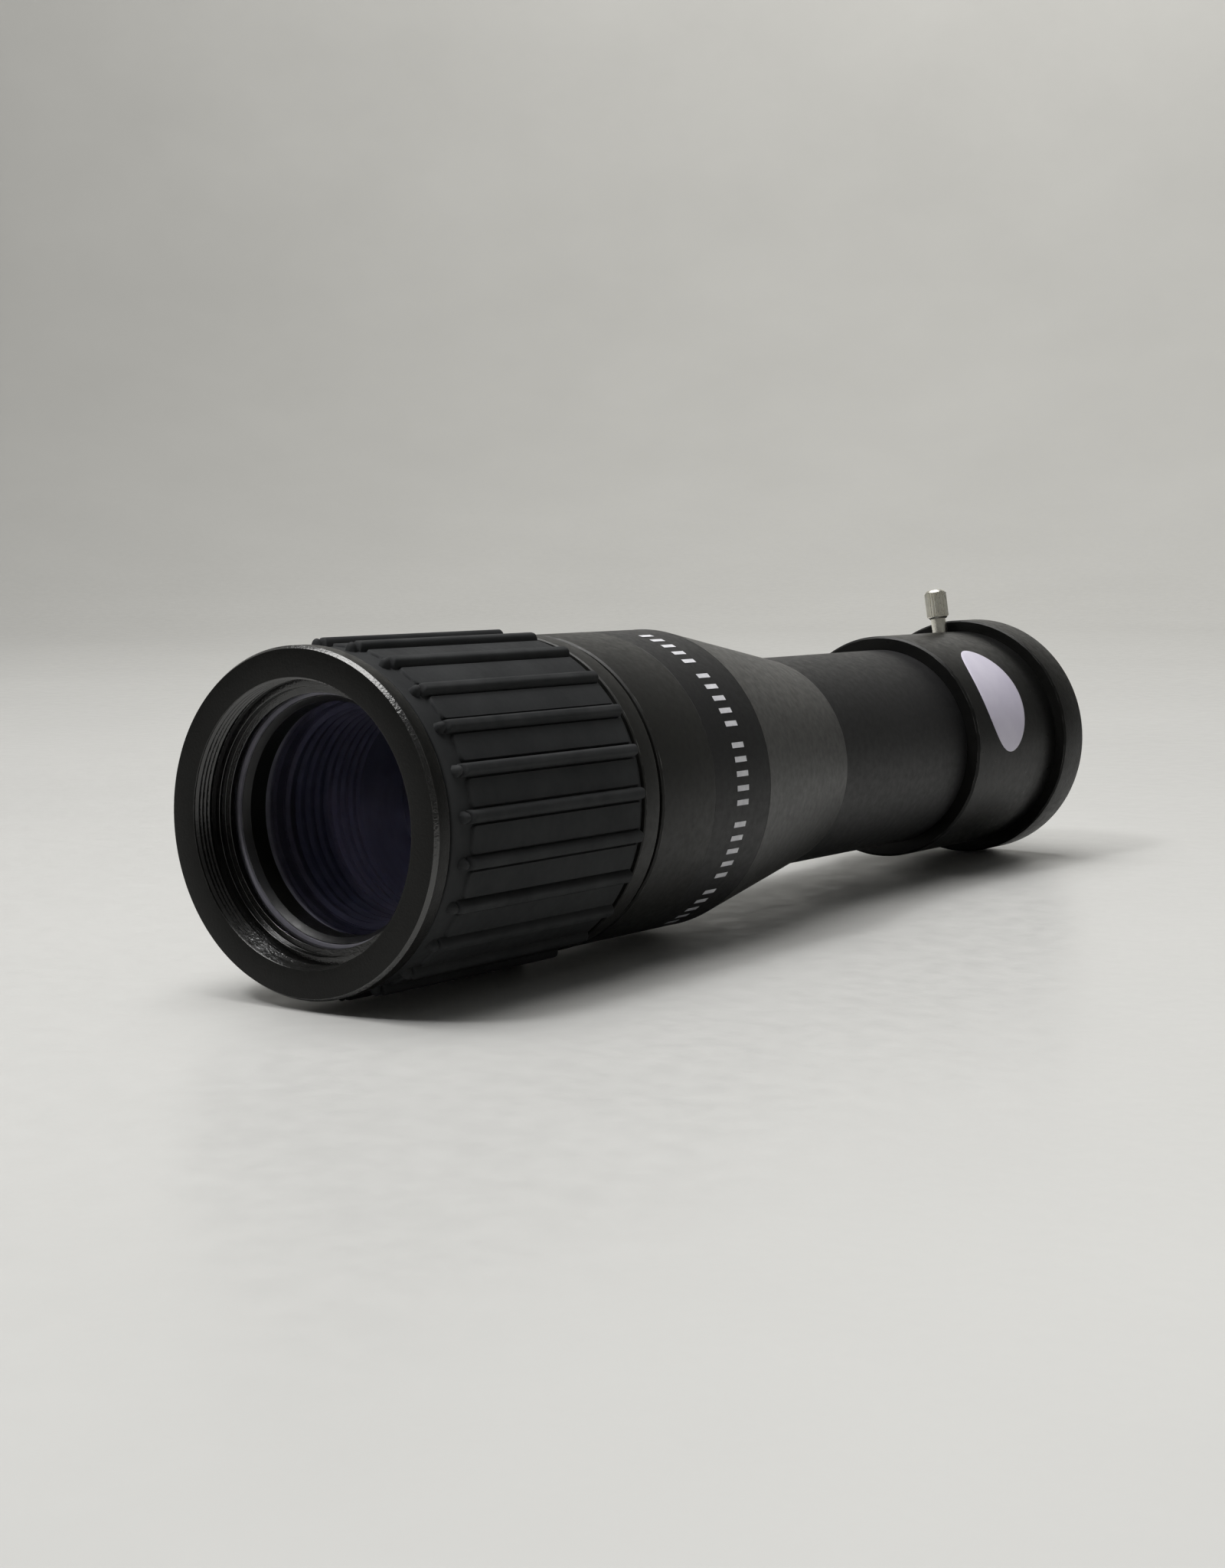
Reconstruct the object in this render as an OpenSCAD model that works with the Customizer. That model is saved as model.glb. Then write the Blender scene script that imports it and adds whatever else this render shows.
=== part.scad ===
// Barlow lens, lying on its side, millimetres.
// Optical axis along +Y, +Z up, y = 0 at the front face, which carries the female thread.

/* [Front ring] */
// outer radius of the front ring
ring_r = 25.4; // [20:0.1:32]
// depth of the visible side band of the front ring
ring_band = 2.97; // [1:0.01:6]
// radius of the thread opening, crest of the M42 x 0.75 thread
thread_r = 20.6; // [15:0.1:27]
// depth of the thread wall
thread_depth = 3.9; // [2:0.1:8]
// axial size of the outer chamfer
ring_chamfer = 0.66; // [0:0.01:2]

/* [Grip] */
// front edge of the grip sleeve
grip_y0 = 3.3; // [3:0.1:6]
// front edge of the rubber
rubber_y0 = 4; // [3:0.1:6]
// rear edge of the rubber
rubber_y1 = 49.7; // [30:0.1:70]
// rear edge of the grip assembly
grip_y1 = 53.6; // [35:0.1:80]
// number of ribs round the grip
rib_count = 24; // [12:1:36]
// angle of the first rib above +X
rib_phase = 4.6; // [0:0.1:15]
// width of a rib
rib_w = 1.9; // [1:0.1:3]
// radius over the ribs
rib_crest_r = 26.3; // [25:0.1:30]
// radius over the pads between the ribs
pad_r = 25.35; // [24:0.05:28]
// radius of the plain rubber margin
rubber_r = 24.9; // [23.5:0.05:27]

/* [Focusing] */
// travel of the lens cell along the axis
cell_travel = 12; // [2:0.5:14]
// turn of the grip for the whole travel
grip_turn = 100; // [40:1:110]
// radius of each drive pin
pin_r = 1.2; // [0.8:0.1:2]
// position of the drive pins along the axis, lens cell fully forward
pin_y = 27; // [24:0.5:28]

/* [Body] */
// radius of the smooth body
body_r = 25.2; // [18:0.1:32]
// front edge of the body, behind the parting groove
body_y0 = 54.6; // [40:0.1:80]
// joint between the front band and the printed tube
body_y1 = 69.1; // [55:0.1:90]
// start of the cone
cone_y0 = 85.3; // [60:0.1:110]
// end of the cone
cone_y1 = 120.6; // [90:0.1:140]
// radius of the neck
neck_r = 18.9; // [17.5:0.1:24]
// position of the index marks
marks_y = 77; // [70:0.1:84]
// length of a mark along the axis
mark_l = 3.3; // [1:0.1:5]
// width of a mark across the axis
mark_w = 0.9; // [0.3:0.1:2]

/* [Eyepiece end] */
// front shoulder of the eyepiece holder
holder_y0 = 165.4; // [130:0.1:190]
// radius of the eyepiece holder
holder_r = 21.54; // [18:0.1:30]
// front face of the end flange
flange_y0 = 198; // [170:0.1:230]
// rear end of the barrel
rear_y = 206.3; // [180:0.1:240]
// radius of the end flange
flange_r = 23.8; // [20:0.1:30]
// radius of the socket for a 1.25 inch eyepiece barrel
socket_r = 15.925; // [15.9:0.005:16.2]
// station of the thumbscrew
screw_y = 195.2; // [185:0.1:196]
// angle of the thumbscrew above +X
screw_ang = 99; // [0:1:180]
// station of the middle of the label
label_y = 178.6; // [174:0.1:182]
// angle of the middle of the label above +X
label_ang = 28.5; // [-90:0.5:180]
// width of the label across the axis
label_w = 21.9; // [10:0.1:28]
// length of the label along the axis
label_l = 15.5; // [8:0.1:17]

/* [Hidden] */
$fn = 96;
e = 0.02;
tube_ri = 18.95;
tube_ro = 20.2;
tube_y0 = 6.5;
tube_y1 = 66;
cell_ro = 18.9;
cell_y0 = 6.8;
cell_y1 = 30;
lens_r = 17.75;
lens_bore_r = 17.8;
lens_y0 = 11.25;
retainer_ri = 17.2;
retainer_ro = 18.1;
sleeve_ro = 23.1;
sleeve_ri = 20.25;
hub_r = 22.2;
hub_y1 = 11;
body_ri = 22.6;
neck_ri = 16.7;
spigot_r = 18;
groove_r = 17.2;
groove_y0 = 190.6;
groove_y1 = 197.2;
stop_y1 = 172.3;
pin_turns = [30, 150, 270];
screw_r = 1.5;
screw_tip = 17.9;
head_y0 = 24.4;
head_y1 = 30.4;

function sag(big, r) = big - sqrt(big * big - r * r);
front_r = 300;
joint_r = 150;
back_r = 600;
joint_y = 12.6;
back_y = 14.6;
seat_y = 15.6;
baffle_y0 = 16.2;

// turns a solid of revolution from local +Z to the optical axis +Y
module along() { rotate([-90, 0, 0]) children(); }

// moves a feature drawn on +X to an angle above +X and a station on the axis
module at(ang, y) { translate([0, y, 0]) rotate([0, -ang, 0]) children(); }

module lathe(pts) { along() rotate_extrude() polygon(pts); }

module tube(ro, ri, y0, y1) {
    along() translate([0, 0, y0]) difference() {
        cylinder(r = ro, h = y1 - y0);
        translate([0, 0, -1]) cylinder(r = ri, h = y1 - y0 + 2);
    }
}

// radial cylinder from r0 to r1 on local +X
module radial(r, r0, r1) { translate([r0, 0, 0]) rotate([0, 90, 0]) cylinder(r = r, h = r1 - r0, $fn = 48); }

module front_ring() {
    color("#26262a") lathe([[thread_r, 0], [ring_r - 0.4, 0], [ring_r, ring_chamfer], [ring_r, ring_band],
        [hub_r, ring_band], [hub_r, hub_y1], [tube_ro, hub_y1], [tube_ro, tube_y0], [18.5, tube_y0],
        [18.5, 5.1], [19.5, 5.1], [19.5, thread_depth], [thread_r, thread_depth]]);
}

module inner_tube() {
    color("#303034") difference() {
        tube(tube_ro, tube_ri, tube_y0, tube_y1);
        for (a = pin_turns) along() rotate([0, 0, a]) {
            translate([15, -pin_r - 0.05, pin_y - 0.15]) cube([8, 2 * pin_r + 0.1, cell_travel + 0.3]);
            for (z = [pin_y - 0.15, pin_y + cell_travel + 0.15])
                translate([15, 0, z]) rotate([0, 90, 0]) cylinder(r = pin_r + 0.05, h = 8, $fn = 48);
        }
    }
}

module slip_ring() { color("#18181a") tube(22.8, 20.2, body_y0 - 0.8, body_y0); }

module body_front_band() {
    color("#242428") lathe([[tube_ro, body_y0], [body_r - 0.3, body_y0], [body_r, body_y0 + 0.3],
        [body_r, body_y1], [tube_ro, body_y1]]);
}

module body_tube() {
    color("#1e1e22") lathe([[body_ri, body_y1], [body_r, body_y1], [body_r, cone_y0], [body_ri, cone_y0]]);
}

module index_marks() {
    // five groups of five, on the upper and right-hand side
    color("#e6e6ea") for (g = [0 : 4], i = [0 : 4]) at(76 - 29.5 * g - 5.3 * i, marks_y)
        intersection() {
            tube(body_r + 0.06, body_r, -3, 3);
            translate([20, -mark_l / 2, -mark_w / 2]) cube([8, mark_l, mark_w]);
        }
}

module body_baffle() { color("#141416") tube(body_ri, 15.6, 71, 72.4); }

module taper_cone() {
    color("#1e1e22") lathe([[body_ri, cone_y0], [body_r, cone_y0], [neck_r, cone_y1], [neck_ri, cone_y1]]);
}

module taper_baffle() { color("#141416") lathe([[14.8, 100], [20.1, 100], [19.88, 101.2], [14.8, 101.2]]); }

module neck_tube() {
    color("#1e1e22") lathe([[neck_ri, cone_y1], [neck_r, cone_y1], [neck_r, holder_y0],
        [spigot_r, holder_y0], [spigot_r, 170.3], [neck_ri, 170.3]]);
}

module neck_liner() { color("#0e0e10") tube(neck_ri, 16.1, 122, 169); }

module eyepiece_holder() {
    color("#1e1e22") difference() {
        lathe([[spigot_r, holder_y0], [holder_r - 0.4, holder_y0], [holder_r, holder_y0 + 0.4],
            [holder_r, flange_y0], [socket_r, flange_y0], [socket_r, groove_y1], [groove_r, groove_y1],
            [groove_r, groove_y0], [socket_r, groove_y0], [socket_r, stop_y1], [spigot_r, stop_y1]]);
        at(screw_ang, screw_y) radial(screw_r + 0.05, 14, 26);
    }
}

module socket_stop_ring() { color("#141416") tube(spigot_r, 14.6, 170.3, stop_y1); }

module compression_ring() {
    color("#b08d4a") difference() {
        tube(16.9, socket_r, groove_y0 + 0.3, groove_y1 - 0.3);
        at(screw_ang + 180, screw_y) translate([14, -5, -0.8]) cube([5, 10, 1.6]);
    }
}

module end_flange() {
    color("#1e1e22") lathe([[socket_r, flange_y0], [flange_r - 0.3, flange_y0],
        [flange_r, flange_y0 + 0.3], [flange_r, rear_y - 0.5], [flange_r - 0.5, rear_y],
        [socket_r + 0.6, rear_y], [socket_r, rear_y - 0.6]]);
}

module oval_label() {
    color("#cfcdd6") at(label_ang, label_y) intersection() {
        tube(holder_r + 0.15, holder_r, -9, 9);
        rotate([0, 90, 0]) linear_extrude(height = 30)
            polygon([for (t = [0 : 9 : 351]) [label_w / 2 * cos(t), label_l / 2 * sin(t)]]);
    }
}

module grip_sleeve() {
    color("#4a4a50") difference() {
        lathe([[hub_r + 0.05, grip_y0], [sleeve_ro, grip_y0], [sleeve_ro, grip_y1], [sleeve_ri, grip_y1],
            [sleeve_ri, 50], [21.3, 50], [21.3, 46], [sleeve_ri, 46], [sleeve_ri, hub_y1 + 0.2],
            [hub_r + 0.05, hub_y1 + 0.2]]);
        for (a = pin_turns) cam_slot(a);
    }
}

// helical slot through the sleeve, one full cell travel long, for a pin at angle a
module cam_slot(a) {
    deg = grip_turn / cell_travel;
    h = cell_travel + 3;
    w = 12;
    along() translate([0, 0, pin_y - 1.5]) rotate([0, 0, a + 1.5 * deg])
        linear_extrude(height = h, twist = h * deg, slices = 30, $fn = 8)
            polygon([for (r = [19, 24], s = [-1, 1]) [r * cos(w), r * sin(w) * (r < 20 ? s : -s)]]);
}

module drag_ring() { color("#5a1f1f") tube(21.3, 20.28, 46, 50); }

module rubber_grip() {
    pitch = 360 / rib_count;
    color("#1c1d22") union() {
        tube(rubber_r, sleeve_ro, rubber_y0, rubber_y1);
        intersection() {
            tube(pad_r, sleeve_ro, 8.4, 48.5);
            for (i = [0 : rib_count - 1]) at(rib_phase + (i + 0.5) * pitch, 0)
                translate([20, 8.4, -2.1]) cube([7, 40.1, 4.2]);
        }
        for (i = [0 : rib_count - 1]) at(rib_phase + i * pitch, 0) {
            translate([sleeve_ro + 0.5, 7.2, -rib_w / 2]) cube([rib_crest_r - rib_w / 2 - sleeve_ro - 0.5,
                rubber_y1 - 8.4, rib_w]);
            translate([rib_crest_r - rib_w / 2, 7.2, 0]) along() cylinder(r = rib_w / 2, h = rubber_y1 - 8.4, $fn = 24);
            translate([0, 6.5, 0]) radial(0.8, sleeve_ro + 0.5, rib_crest_r);
        }
    }
}

module grip_end_ring() {
    color("#202024") lathe([[sleeve_ro, rubber_y1], [25.3, rubber_y1], [25.3, grip_y1 - 0.3],
        [25, grip_y1], [sleeve_ro, grip_y1]]);
}

module lens_cell() {
    color("#202024") difference() {
        lathe([[retainer_ro, cell_y0], [cell_ro, cell_y0], [cell_ro, cell_y1], [17.9, cell_y1],
            [17.9, baffle_y0], [17, baffle_y0], [17, seat_y], [lens_bore_r, seat_y], [lens_bore_r, lens_y0],
            [retainer_ro, lens_y0]]);
        for (a = pin_turns) along() rotate([0, 0, a]) translate([16, 0, pin_y]) rotate([0, 90, 0])
            cylinder(r = pin_r, h = 6, $fn = 48);
    }
}

module retaining_ring() {
    color("#3a3a40") lathe([[retainer_ri, 8.1], [retainer_ro - 0.05, 6.95], [retainer_ro - 0.05, lens_y0],
        [retainer_ri, lens_y0]]);
}

module front_lens() {
    color([0.35, 0.3, 0.6, 0.35]) lathe(concat(
        [for (i = [0 : 12]) let (r = retainer_ri * i / 12) [r, lens_y0 + sag(front_r, retainer_ri) - sag(front_r, r)]],
        [[lens_r, lens_y0]],
        [for (i = [12 : -1 : 0]) let (r = lens_r * i / 12) [r, joint_y + sag(joint_r, r)]]));
}

module rear_lens() {
    color([0.35, 0.3, 0.6, 0.35]) lathe(concat(
        [for (i = [0 : 12]) let (r = lens_r * i / 12) [r, joint_y + sag(joint_r, r)]],
        [[lens_r, back_y + sag(back_r, 17)]],
        [for (i = [12 : -1 : 0]) let (r = 17 * i / 12) [r, back_y + sag(back_r, r)]]));
}

module cell_spacer() { color("#202024") tube(lens_r, 17, back_y + sag(back_r, 17), seat_y); }

module baffle_sleeve() {
    n = 9;
    p = 2;
    y0 = baffle_y0 + 0.2;
    color("#161618") lathe(concat(
        [[17.9, baffle_y0], [17.9, cell_y1], [18.6, cell_y1], [18.6, 46], [16.9, 46]],
        [for (i = [n - 1 : -1 : 0]) each [[16.9, y0 + (i + 1) * p], [16.1, y0 + i * p + 0.35], [16.1, y0 + i * p + 0.15],
            [16.9, y0 + i * p]]],
        [[16.9, baffle_y0]]));
}

module drive_pins() {
    color("#b08d4a") for (a = pin_turns) along() rotate([0, 0, a]) translate([18, 0, pin_y])
        rotate([0, 90, 0]) cylinder(r = pin_r, h = 4.4, $fn = 48);
}

module clamp_tip() { color("#b08d4a") at(screw_ang, screw_y) radial(1.2, 16.95, screw_tip - e); }

module thumbscrew() {
    color("#c9c4b2") at(screw_ang, screw_y) difference() {
        union() {
            radial(screw_r, screw_tip, head_y0 + 0.1);
            radial(2.1, head_y0, head_y1);
        }
        for (i = [0 : 17]) rotate([20 * i, 0, 0]) translate([head_y0 + 0.7, 0, 2.25])
            rotate([0, 90, 0]) cylinder(r = 0.25, h = head_y1 - head_y0 - 1.4, $fn = 16);
    }
}

front_ring();
inner_tube();
slip_ring();
body_front_band();
body_tube();
index_marks();
body_baffle();
taper_cone();
taper_baffle();
neck_tube();
neck_liner();
eyepiece_holder();
socket_stop_ring();
compression_ring();
end_flange();
oval_label();
grip_sleeve();
drag_ring();
rubber_grip();
grip_end_ring();
lens_cell();
retaining_ring();
front_lens();
rear_lens();
cell_spacer();
baffle_sleeve();
drive_pins();
clamp_tip();
thumbscrew();
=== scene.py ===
# Looks of a barlow lens lying on its side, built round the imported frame.
# Optical axis along +Y, +Z up, front face at y = 0. The lens's sizes are in millimetres until they go into a
# mesh. The table, lights and camera are in metres.
import math

import bmesh
import bpy
from mathutils import Matrix, Vector


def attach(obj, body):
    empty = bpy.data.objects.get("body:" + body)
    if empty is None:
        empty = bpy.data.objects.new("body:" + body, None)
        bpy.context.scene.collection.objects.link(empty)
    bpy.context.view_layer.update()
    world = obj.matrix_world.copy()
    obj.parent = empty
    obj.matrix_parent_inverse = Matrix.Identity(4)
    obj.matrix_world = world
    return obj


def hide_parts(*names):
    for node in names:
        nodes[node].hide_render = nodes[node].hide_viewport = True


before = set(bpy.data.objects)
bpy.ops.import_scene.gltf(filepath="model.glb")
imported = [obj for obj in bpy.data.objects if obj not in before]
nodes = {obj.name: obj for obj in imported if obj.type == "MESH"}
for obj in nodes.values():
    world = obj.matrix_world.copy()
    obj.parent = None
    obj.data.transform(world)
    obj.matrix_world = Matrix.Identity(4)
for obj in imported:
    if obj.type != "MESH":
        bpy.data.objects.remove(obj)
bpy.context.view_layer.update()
scene = bpy.context.scene

MM = 0.001
TURN = 2 * math.pi
SEGMENTS = 240

# ---------------------------------------------------------------- sizes

# As in the part's source, apart from four. The source doesn't draw the thread, so its pitch and root are set
# here. The lenses are drawn 0.03 mm and the lens retainer 0.05 mm smaller in radius.
RING_R, RING_BAND, THREAD_CREST, THREAD_DEPTH = 25.4, 2.97, 20.6, 3.9
THREAD_PITCH, THREAD_ROOT = 0.75, 21.02
RUBBER_Y0, RUBBER_Y1, GRIP_Y1 = 4.0, 49.7, 53.6
SLEEVE_R, RUBBER_R, PAD_R, CREST_R = 23.1, 24.9, 25.35, 26.3
RIBS, RIB_PHASE, RIB_W = 24, 4.6, 1.9
BODY_R, BODY_Y0, BODY_Y1, CONE_Y0, CONE_Y1, NECK_R = 25.2, 54.6, 69.1, 85.3, 120.6, 18.9
HOLDER_Y0, HOLDER_R, FLANGE_Y0, FLANGE_R, REAR_Y, SOCKET_R = 165.4, 21.54, 198.0, 23.8, 206.3, 15.925
SCREW_Y, SCREW_ANG, SCREW_R, HEAD_R, HEAD_R0, HEAD_R1 = 195.2, 99.0, 1.5, 2.1, 24.4, 30.4
MARKS_Y, MARK_L, MARK_W, LABEL_Y, LABEL_ANG, LABEL_W, LABEL_L = 77.0, 3.3, 0.9, 178.6, 28.5, 21.9, 15.5
LENS_Y0, LENS_R, BAFFLE_Y0, BAFFLE_R, RIDGES, RIDGE_PITCH = 11.25, 17.72, 16.2, 16.9, 9, 2.0
# Hidden seats and bores: ring's tail, inner tube, body, neck, clamping groove, lens retainer and socket.
RING_TAIL_R, INNER_R, BODY_BORE, NECK_BORE, NECK_SEAT = 22.2, 20.2, 22.6, 16.7, 18.0
GROOVE_R, RETAINER_BORE, RETAINER_R = 17.2, 17.2, 18.05
GROOVE_Y0, GROOVE_Y1, SOCKET_Y0, NECK_END = 190.6, 197.2, 172.3, 170.3


# ---------------------------------------------------------------- small tools


def linear(hex_colour):
    """An sRGB hex colour as linear RGBA."""
    channels = [int(hex_colour[i : i + 2], 16) / 255 for i in (1, 3, 5)]
    return tuple(c / 12.92 if c <= 0.04045 else ((c + 0.055) / 1.055) ** 2.4 for c in channels) + (1.0,)


def add(tree, kind, inputs=None, **settings):
    """Adds a node with its settings. A socket given for an input is linked to it, a value is set on it."""
    node = tree.nodes.new(kind)
    for name, value in settings.items():
        setattr(node, name, value)
    for key, value in (inputs or {}).items():
        if isinstance(value, bpy.types.NodeSocket):
            tree.links.new(value, node.inputs[key])
        else:
            node.inputs[key].default_value = value
    return node


def as_piece(name, mesh, material, body, slot, *replaced):
    """Puts a finished mesh on its body, in place of the named frame nodes."""
    piece = bpy.data.objects.new(name, mesh)
    scene.collection.objects.link(piece)
    if material:
        mesh.materials.clear()
        mesh.materials.append(material)
    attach(piece, body)
    if replaced:
        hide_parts(*replaced)
    return piece


def rounded(profile, steps=4):
    """A closed profile of (r, y) or (r, y, fillet) with its corners rounded, as (r, y, on_fillet) points."""
    out = []
    for i, corner in enumerate(profile):
        point = Vector(corner[:2])
        fillet = corner[2] if len(corner) > 2 else 0
        before, after = Vector(profile[i - 1][:2]), Vector(profile[(i + 1) % len(profile)][:2])
        a, b = before - point, after - point
        if not fillet or a.length < 1e-9 or b.length < 1e-9 or a.angle(b) > 3.1:
            out.append((point.x, point.y, 0.0))
            continue
        half = a.angle(b) / 2
        back = min(fillet / math.tan(half), 0.45 * a.length, 0.45 * b.length)
        radius = back * math.tan(half)
        centre = point + (a.normalized() + b.normalized()).normalized() * radius / math.sin(half)
        start, end = point + a.normalized() * back - centre, point + b.normalized() * back - centre
        sweep = start.angle(end)
        for step in range(steps + 1):
            t = step / steps
            spoke = (start * math.sin((1 - t) * sweep) + end * math.sin(t * sweep)) / math.sin(sweep)
            out.append((*(centre + spoke), 1.0 if 0 < step < steps else 0.0))
    return out


def shade(mesh, sharp_deg=32):
    """Smooth faces with their sharp edges kept."""
    mesh.polygons.foreach_set("use_smooth", [True] * len(mesh.polygons))
    mesh.set_sharp_from_angle(angle=math.radians(sharp_deg))


def turned(name, profile, segments=SEGMENTS, fillet_steps=4, sharp_deg=32):
    """A solid of revolution about the optical axis, from a closed (r, y, fillet) profile. The attribute
    "edge" is 1 on rounded corners."""
    points = rounded(profile, fillet_steps)
    verts, edge, rings = [], [], []
    for r, y, on_fillet in points:
        if r < 1e-6:
            rings.append([len(verts)] * segments)
            verts.append((0, y * MM, 0))
            edge.append(on_fillet)
            continue
        rings.append(list(range(len(verts), len(verts) + segments)))
        for k in range(segments):
            angle = TURN * k / segments
            verts.append((r * MM * math.cos(angle), y * MM, r * MM * math.sin(angle)))
            edge.append(on_fillet)
    faces = []
    for i, ring in enumerate(rings):
        after = rings[(i + 1) % len(rings)]
        if ring[0] == ring[1] and after[0] == after[1]:
            continue
        for k in range(segments):
            n = (k + 1) % segments
            quad = [ring[k], ring[n], after[n], after[k]]
            face = [v for j, v in enumerate(quad) if v not in quad[:j]]
            faces.append(face)
    mesh = bpy.data.meshes.new(name)
    mesh.from_pydata(verts, [], faces)
    shell = bmesh.new()
    shell.from_mesh(mesh)
    bmesh.ops.recalc_face_normals(shell, faces=shell.faces)
    shell.to_mesh(mesh)
    shell.free()
    attribute = mesh.attributes.new("edge", "FLOAT", "POINT")
    attribute.data.foreach_set("value", edge)
    shade(mesh, sharp_deg)
    return mesh


def place(mesh, angle_deg, y):
    """Turns a mesh drawn on +X to an angle above +X, at a station on the axis."""
    mesh.transform(Matrix.Translation((0, y * MM, 0)) @ Matrix.Rotation(-math.radians(angle_deg), 4, "Y"))
    return mesh


# ---------------------------------------------------------------- materials

# Real grain and cutter's marks are mostly too fine to show at this size. None has a base size under 0.16 mm,
# so that they do.


def new_material(name):
    """An empty node material, its tree and its Object coordinates, which are in metres."""
    made = bpy.data.materials.new(name)
    made.use_nodes = True
    made.node_tree.nodes.clear()
    return made, made.node_tree, add(made.node_tree, "ShaderNodeTexCoord").outputs["Object"]


def close_material(tree, sockets, height, depth_mm):
    """Ends a material in its shader, with a height pattern as its relief."""
    relief = add(tree, "ShaderNodeBump", {"Height": height, "Strength": 1.0, "Distance": depth_mm * MM})
    shader = add(tree, "ShaderNodeBsdfPrincipled", {"Normal": relief.outputs["Normal"], **sockets})
    add(tree, "ShaderNodeOutputMaterial", {"Surface": shader.outputs["BSDF"]})


def per_grain(mm):
    """The noise scale whose grains are about that many millimetres wide."""
    return 1000 / (mm * 2.2)


def uneven(tree, where, mm, low, high, detail=3.0, start=0.3, stop=0.7):
    """A value that wanders from low to high over patches about that many millimetres wide."""
    patches = add(tree, "ShaderNodeTexNoise",
        {"Vector": where, "Scale": per_grain(mm), "Detail": detail, "Roughness": 0.6})
    return add(tree, "ShaderNodeMapRange",
        {"Value": patches.outputs["Fac"], "From Min": start, "From Max": stop, "To Min": low,
            "To Max": high}).outputs["Result"]


def clouded(tree, where, mm, dark, light):
    """A colour that wanders between two over patches about that many millimetres wide."""
    return add(tree, "ShaderNodeMix",
        {"Factor": uneven(tree, where, mm, 0.0, 1.0), 6: linear(dark), 7: linear(light)},
        data_type="RGBA").outputs[2]


def wear_and_sheen(tree, where, base, worn, patch_mm, most):
    """The colour made paler in patches where the attribute "edge" is set: wear on corners, rib crests and
    pips, and a painted highlight along the rubber's pad edges.
    """
    edge = add(tree, "ShaderNodeAttribute", attribute_name="edge").outputs["Fac"]
    patches = uneven(tree, where, patch_mm, 0.0, most, start=0.45)
    share = add(tree, "ShaderNodeMath", {0: edge, 1: patches}, operation="MULTIPLY").outputs[0]
    return add(tree, "ShaderNodeMix", {"Factor": share, 6: base, 7: linear(worn)},
        data_type="RGBA").outputs[2]


def dusted(tree, where, base, speck, cell_mm, size, share):
    """The colour with sparse specks of lint. That share of the cells holds one, and size is its part of a
    cell."""
    cells = add(tree, "ShaderNodeTexVoronoi", {"Vector": where, "Scale": 1000 / cell_mm, "Randomness": 1.0})
    near = add(tree, "ShaderNodeMath", {0: cells.outputs["Distance"], 1: size},
        operation="LESS_THAN").outputs[0]
    draw = add(tree, "ShaderNodeSeparateColor", {"Color": cells.outputs["Color"]}).outputs["Red"]
    picked = add(tree, "ShaderNodeMath", {0: draw, 1: share}, operation="LESS_THAN").outputs[0]
    inside = add(tree, "ShaderNodeMath", {0: near, 1: picked}, operation="MULTIPLY").outputs[0]
    return add(tree, "ShaderNodeMix", {"Factor": inside, 6: base, 7: linear(speck)},
        data_type="RGBA").outputs[2]


def round_axis(tree, where):
    """(distance from the axis, station, 0), so that a pattern runs round the part as a cutter's marks do."""
    flat = add(tree, "ShaderNodeVectorMath", {0: where, 1: (1.0, 0.0, 1.0)},
        operation="MULTIPLY").outputs["Vector"]
    away = add(tree, "ShaderNodeVectorMath", {0: flat}, operation="LENGTH").outputs["Value"]
    station = add(tree, "ShaderNodeSeparateXYZ", {"Vector": where}).outputs["Y"]
    return add(tree, "ShaderNodeCombineXYZ", {"X": away, "Y": station}).outputs["Vector"]


def anodised_aluminium(name, dark, light, rough, grain_mm, grain_depth, gloss, turning=0.12, worn="#6E6E6C",
    dust=0.0):
    """Black-anodised aluminium: dyed oxide, so a satin dielectric gloss with a fine even grain, faint rings
    left by turning, and corners rubbed a little paler."""
    made, tree, where = new_material(name)
    base = wear_and_sheen(tree, where, clouded(tree, where, 9, dark, light), worn, 1.6, 0.75)
    if dust:
        base = dusted(tree, where, base, "#D8D8D2", 2.6, 0.028, dust)
    grain = add(tree, "ShaderNodeTexNoise",
        {"Vector": where, "Scale": per_grain(grain_mm), "Detail": 2.0, "Roughness": 0.6}).outputs["Fac"]
    rings = add(tree, "ShaderNodeTexNoise",
        {"Vector": round_axis(tree, where), "Scale": per_grain(0.25), "Detail": 3.0, "Roughness": 0.7})
    height = add(tree, "ShaderNodeMath", {0: rings.outputs["Fac"], 1: turning, 2: grain},
        operation="MULTIPLY_ADD").outputs[0]
    close_material(tree,
        {"Base Color": base, "Roughness": uneven(tree, where, grain_mm * 3, rough - 0.07, rough + 0.07),
            "IOR": 1.6, "Specular IOR Level": gloss}, height, grain_depth)
    return made


# Blasted, then dyed: an even dull skin with a fine sparkle.
ANODISED = anodised_aluminium("bead_blasted_black_anodised_aluminium", "#0C0C0B", "#111110", 0.36, 0.2,
    0.035, 0.15, dust=0.03)
# The chamfer was cut after blasting: glossier, with a sparkling grain.
ANODISED_CHAMFER = anodised_aluminium("cut_black_anodised_chamfer", "#0C0C0C", "#121211", 0.23, 0.22, 0.1,
    0.75, turning=0.5)
# Turned fine and dyed: a soft sheen with no grain to see.
ANODISED_SATIN = anodised_aluminium("satin_black_anodised_aluminium", "#141413", "#1A1A18", 0.46, 0.2,
    0.008, 0.25)
# A paler colour, painted light for the light that the sloping face catches, and more gloss, so that the taper
# stands out between the body and the neck.
ANODISED_TAPER_PAINTED_LIGHT = anodised_aluminium("satin_black_anodised_taper", "#191918", "#20201E", 0.42, 0.2, 0.008,
    0.5)
# A deeper dye on a smoother skin: the eyepiece holder reads darker, with a tighter sheen.
ANODISED_SMOOTH = anodised_aluminium("smooth_black_anodised_aluminium", "#0D0D0D", "#121211", 0.34, 0.2,
    0.006, 0.17)
# Etched before dyeing: a rougher black that spreads the light.
ANODISED_MATT = anodised_aluminium("matt_black_anodised_aluminium", "#121213", "#171718", 0.5, 0.2, 0.008,
    0.32)
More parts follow.
